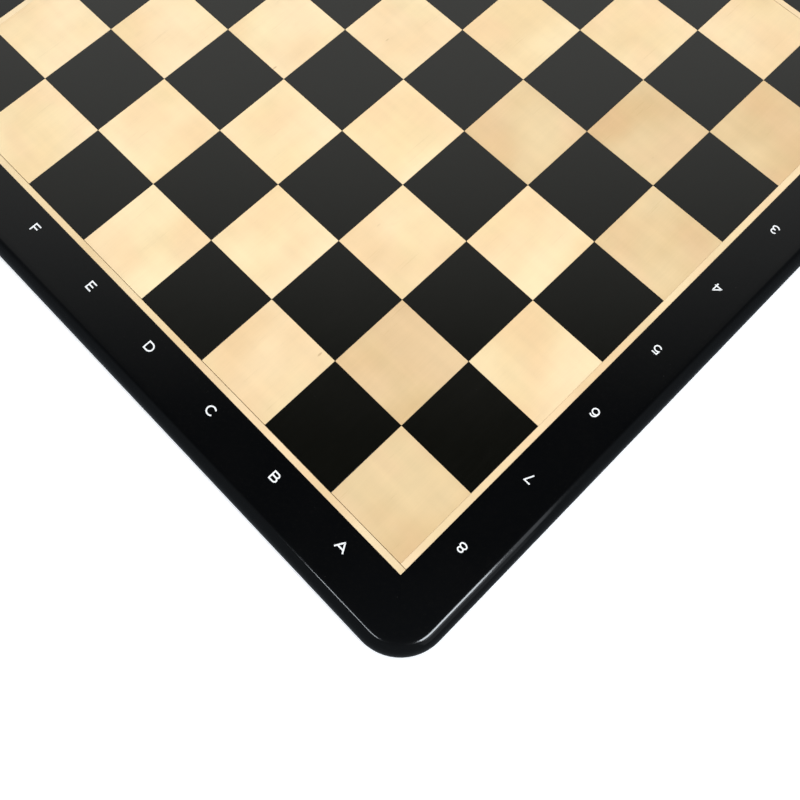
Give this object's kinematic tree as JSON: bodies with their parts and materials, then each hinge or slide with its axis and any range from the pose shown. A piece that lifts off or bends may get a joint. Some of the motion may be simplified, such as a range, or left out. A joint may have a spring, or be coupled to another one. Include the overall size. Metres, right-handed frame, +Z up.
{
  "type": "chessboard",
  "caption": "Flat wooden chessboard: inlaid light and black squares with a light fillet, in a black mitred frame with a full-round edge and round corners.",
  "frame": {"origin": "centre of the board on the plane that its feet stand on", "axes": "+Z up out of the playing surface, +X along the ranks from file a to file h, +Y along the files from rank 1, White's side, to rank 8"},
  "size_m": [0.5264, 0.5264, 0.019],
  "materials": {
    "frame_black": "ebonised, satin lacquer",
    "square_dark": "ebonised, fine satin lacquer",
    "square_light": "maple, fine satin lacquer",
    "fillet_light": "maple, fine satin lacquer",
    "core_wood": "raw fibreboard",
    "backing_wood": "stained veneer, matte",
    "spline_wood": "raw birch plywood",
    "foot_rubber": "moulded rubber, matte",
    "coordinate_white": "screen-printed enamel, matte"
  },
  "bodies": {
    "root": {"rail_rank_1": "frame_black", "rail_h_file": "frame_black", "rail_rank_8": "frame_black", "rail_a_file": "frame_black", "fillet_rank_1": "fillet_light", "fillet_h_file": "fillet_light", "fillet_rank_8": "fillet_light", "fillet_a_file": "fillet_light", "spline_a1": "spline_wood", "spline_h1": "spline_wood", "spline_h8": "spline_wood", "spline_a8": "spline_wood", "foot_a1": "foot_rubber", "foot_h1": "foot_rubber", "foot_h8": "foot_rubber", "foot_a8": "foot_rubber", "light_squares_rank_1": "square_light", "light_squares_rank_2": "square_light", "light_squares_rank_3": "square_light", "light_squares_rank_4": "square_light", "light_squares_rank_5": "square_light", "light_squares_rank_6": "square_light", "light_squares_rank_7": "square_light", "light_squares_rank_8": "square_light", "dark_squares_rank_1": "square_dark", "dark_squares_rank_2": "square_dark", "dark_squares_rank_3": "square_dark", "dark_squares_rank_4": "square_dark", "dark_squares_rank_5": "square_dark", "dark_squares_rank_6": "square_dark", "dark_squares_rank_7": "square_dark", "dark_squares_rank_8": "square_dark", "core_panel": "core_wood", "backing_panel": "backing_wood"}
  },
  "joints": []
}
